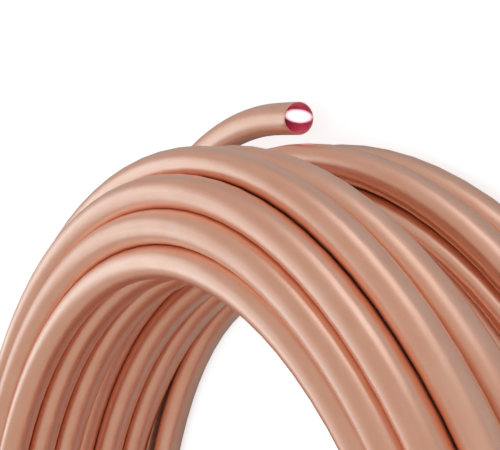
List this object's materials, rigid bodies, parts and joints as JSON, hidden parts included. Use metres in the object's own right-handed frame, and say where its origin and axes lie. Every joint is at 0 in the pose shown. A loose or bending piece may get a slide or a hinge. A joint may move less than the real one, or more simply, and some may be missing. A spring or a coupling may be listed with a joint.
{
  "type": "copper tube coil",
  "caption": "Multi-layer coil of soft bare copper tube lying on its face, with an open end sprung clear of the winding.",
  "frame": {"origin": "on the floor, on the coil's axis, in the middle of the eye", "axes": "+Z along the coil's axis, from the face that it lies on to the face that the picture shows; +X is the way the open end points; +Y is the side of the coil that the picture shows uppermost"},
  "size_m": [0.811, 0.8021, 0.1558],
  "materials": {
    "copper": "bare drawn copper, semi-bright, with fine lengthwise drawing lines"
  },
  "bodies": {
    "root": {"copper_tube": "copper"}
  },
  "joints": []
}
